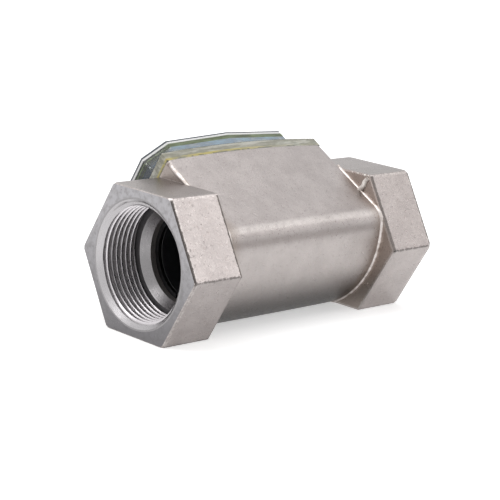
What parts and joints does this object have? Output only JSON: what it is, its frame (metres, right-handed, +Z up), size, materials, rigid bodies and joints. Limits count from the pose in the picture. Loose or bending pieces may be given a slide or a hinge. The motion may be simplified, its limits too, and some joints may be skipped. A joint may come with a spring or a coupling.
{
  "type": "digital flow meter",
  "caption": "Inline turbine flow meter with hexagonal female pipe ends, a cast body, a clear display cover with press buttons and a free-spinning rotor.",
  "frame": {"origin": "centre of the inlet end's face, on the flow axis", "axes": "+X along the flow, from the inlet to the outlet; +Z up as the meter lies on a flat of its hexagonal ends, which is at z = -27.78 mm; the display faces +Y, leaning back 60 degrees from straight up"},
  "size_m": [0.127, 0.08, 0.0686],
  "materials": {
    "cast_stainless": "investment-cast stainless steel, matte with a fine grain, bores machined",
    "black_plastic": "moulded black plastic, satin",
    "rotor_plastic": "moulded dark plastic, satin",
    "ceramic": "fine-ground ceramic, opaque",
    "dark_spring_steel": "dark phosphated spring steel",
    "carbide": "ground and polished",
    "pin_steel": "drawn wire",
    "seal_rubber": "yellow-green moulded rubber",
    "clear_cover": "clear moulded plastic with a polished surface",
    "screw_steel": "machine screw, bright",
    "label_print": "blue print with a yellow-green edge",
    "holder_plastic": "moulded dark grey plastic",
    "display_glass": "grey-green display glass",
    "connector_rubber": "striped conductive rubber",
    "board_laminate": "green solder mask",
    "chip_plastic": "moulded chip case",
    "cell_jacket": "plain dark cell jacket",
    "contact_metal": "bent leaf strip",
    "button_rubber": "dark grey moulded rubber",
    "dome_metal": "stamped snap dome",
    "copper_wire": "enamelled copper winding",
    "core_iron": "sintered iron"
  },
  "bodies": {
    "meter": {"meter_body": "cast_stainless", "inlet_rotor_support": "black_plastic", "outlet_rotor_support": "black_plastic", "inlet_bearing": "ceramic", "outlet_bearing": "ceramic", "inlet_retaining_ring": "dark_spring_steel", "outlet_retaining_ring": "dark_spring_steel", "cover_seal": "seal_rubber", "display_cover": "clear_cover", "cover_screws": "screw_steel", "face_label": "label_print", "lcd_holder": "holder_plastic", "lcd_glass": "display_glass", "lcd_connector_strips": "connector_rubber", "circuit_board": "board_laminate", "board_screws": "screw_steel", "board_chips": "chip_plastic", "battery_upper": "cell_jacket", "battery_lower": "cell_jacket", "battery_contacts": "contact_metal", "display_button_dome": "dome_metal", "reset_button_dome": "dome_metal", "coil_bobbin": "holder_plastic", "coil_winding": "copper_wire", "coil_core": "core_iron"},
    "rotor": {"rotor": "rotor_plastic", "rotor_shaft": "carbide", "rotor_signal_pins": "pin_steel"},
    "display_button": {"display_button": "button_rubber"},
    "reset_button": {"reset_button": "button_rubber"}
  },
  "joints": [
    {"name": "rotor_spin", "type": "hinge", "parent": "meter", "child": "rotor", "pos_m": [0.0635, 0, 0], "axis": [1, 0, 0], "continuous": true},
    {"name": "display_button_press", "type": "slide", "parent": "meter", "child": "display_button", "axis": [0, -0.866, -0.5], "range_m": [0, 0.0008], "stiffness_N_per_m": 1500, "deforming": ["display_button_dome"]},
    {"name": "reset_button_press", "type": "slide", "parent": "meter", "child": "reset_button", "axis": [0, -0.866, -0.5], "range_m": [0, 0.0008], "stiffness_N_per_m": 1500, "deforming": ["reset_button_dome"]}
  ]
}
